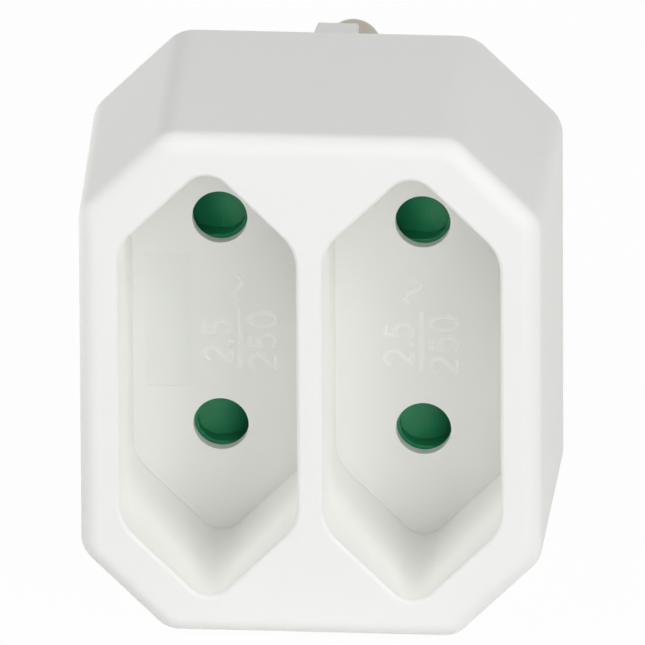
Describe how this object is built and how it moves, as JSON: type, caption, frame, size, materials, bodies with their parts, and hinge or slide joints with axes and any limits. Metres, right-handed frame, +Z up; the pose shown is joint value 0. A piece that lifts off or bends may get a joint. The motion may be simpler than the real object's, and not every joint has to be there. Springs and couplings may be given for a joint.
{
  "type": "two-way plug-in socket adapter",
  "caption": "White octagonal plug-in adapter with side-by-side recessed two-pin sockets, turning green shutters behind the pin holes and a round-pin plug on the back.",
  "frame": {"origin": "centre of the plug's end face, the face that meets the bottom of a wall socket", "axes": "+Z up, +Y out of the plug's end face along its pins, the two sockets side by side along X and facing -Y"},
  "size_m": [0.0398, 0.0543, 0.0464],
  "materials": {
    "white_plastic": "satin moulded",
    "carrier_plastic": "matt moulded",
    "green_plastic": "satin moulded",
    "spring_steel": "plain",
    "contact_brass": "stamped",
    "pin_nickel": "nickel plated, satin",
    "screw_zinc": "zinc plated"
  },
  "bodies": {
    "housing": {"front_cover": "white_plastic", "rear_housing": "white_plastic", "shutter_carrier": "carrier_plastic", "shutter_spring_left": "spring_steel", "shutter_spring_right": "spring_steel", "contact_strip_upper": "contact_brass", "contact_strip_lower": "contact_brass", "plug_pin_upper": "pin_nickel", "plug_pin_lower": "pin_nickel", "housing_screws": "screw_zinc"},
    "left_shutter": {"shutter_left": "green_plastic"},
    "right_shutter": {"shutter_right": "green_plastic"}
  },
  "joints": [
    {"name": "left_shutter_turn", "type": "hinge", "parent": "housing", "child": "left_shutter", "pos_m": [-0.0086, -0.018, 0], "axis": [0, 1, 0], "range_deg": [0, 34], "stiffness_Nm_per_rad": 0.0005, "springref_deg": -11.46, "deforming": ["shutter_spring_left"]},
    {"name": "right_shutter_turn", "type": "hinge", "parent": "housing", "child": "right_shutter", "pos_m": [0.0086, -0.018, 0], "axis": [0, 1, 0], "range_deg": [0, 34], "stiffness_Nm_per_rad": 0.0005, "springref_deg": -11.46, "deforming": ["shutter_spring_right"]}
  ]
}
